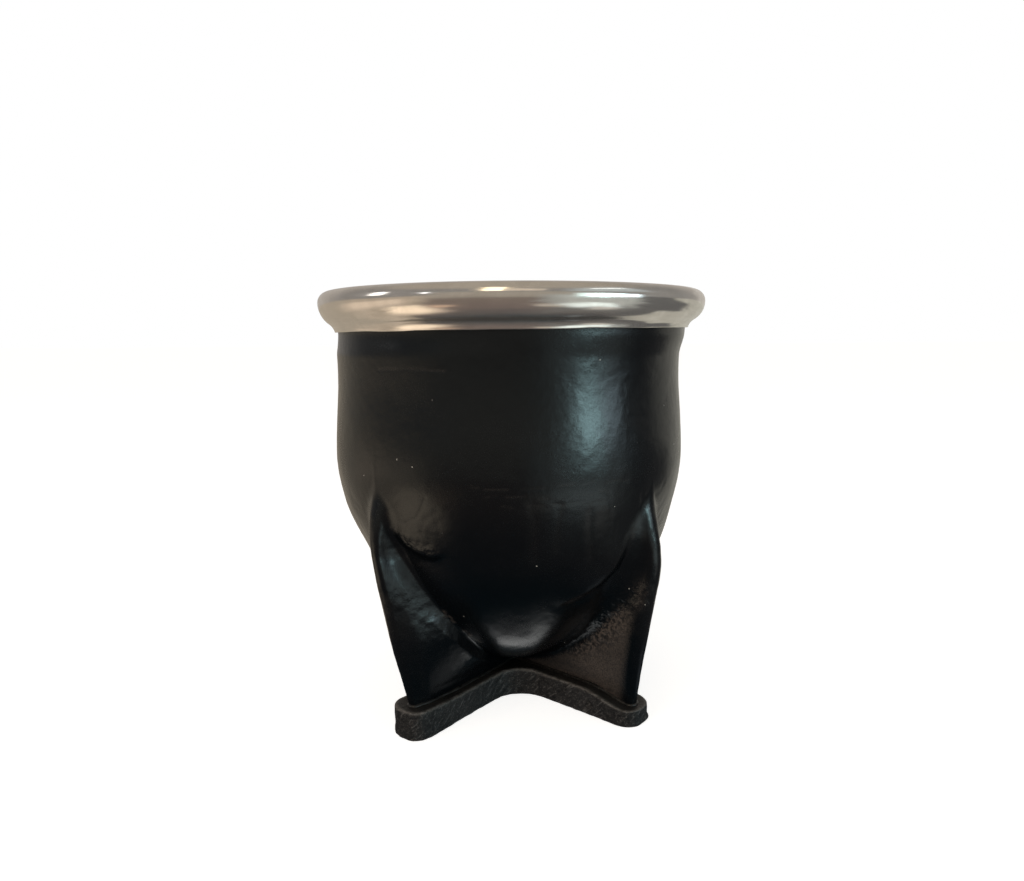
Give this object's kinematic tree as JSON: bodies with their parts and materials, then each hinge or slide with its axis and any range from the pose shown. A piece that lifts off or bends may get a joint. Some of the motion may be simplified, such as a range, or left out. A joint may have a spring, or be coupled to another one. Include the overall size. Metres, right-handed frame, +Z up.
{
  "type": "mate cup",
  "caption": "Mate cup: a gourd bowl in a seamless black leather cover pinched into fin-shaped feet, with a rolled polished metal rim and a cross-shaped leather sole.",
  "frame": {"origin": "on the floor, under the middle of the sole", "axes": "+Z up along the cup's axis, -Y towards the front between two fins; the heads of the fins point along the diagonals of X and Y"},
  "size_m": [0.087, 0.087, 0.0936],
  "materials": {
    "gourd": "dry, scraped gourd shell",
    "cover_leather": "black, waxed to a satin sheen",
    "rim_metal": "polished steel",
    "bedding_resin": "cast resin",
    "sole_leather": "black, cut edge left fibrous",
    "sole_cement": "glossy, dried contact cement"
  },
  "bodies": {
    "root": {"gourd_bowl": "gourd", "leather_cover": "cover_leather", "metal_rim": "rim_metal", "rim_bedding": "bedding_resin", "cross_sole": "sole_leather", "sole_cement": "sole_cement"}
  },
  "joints": []
}
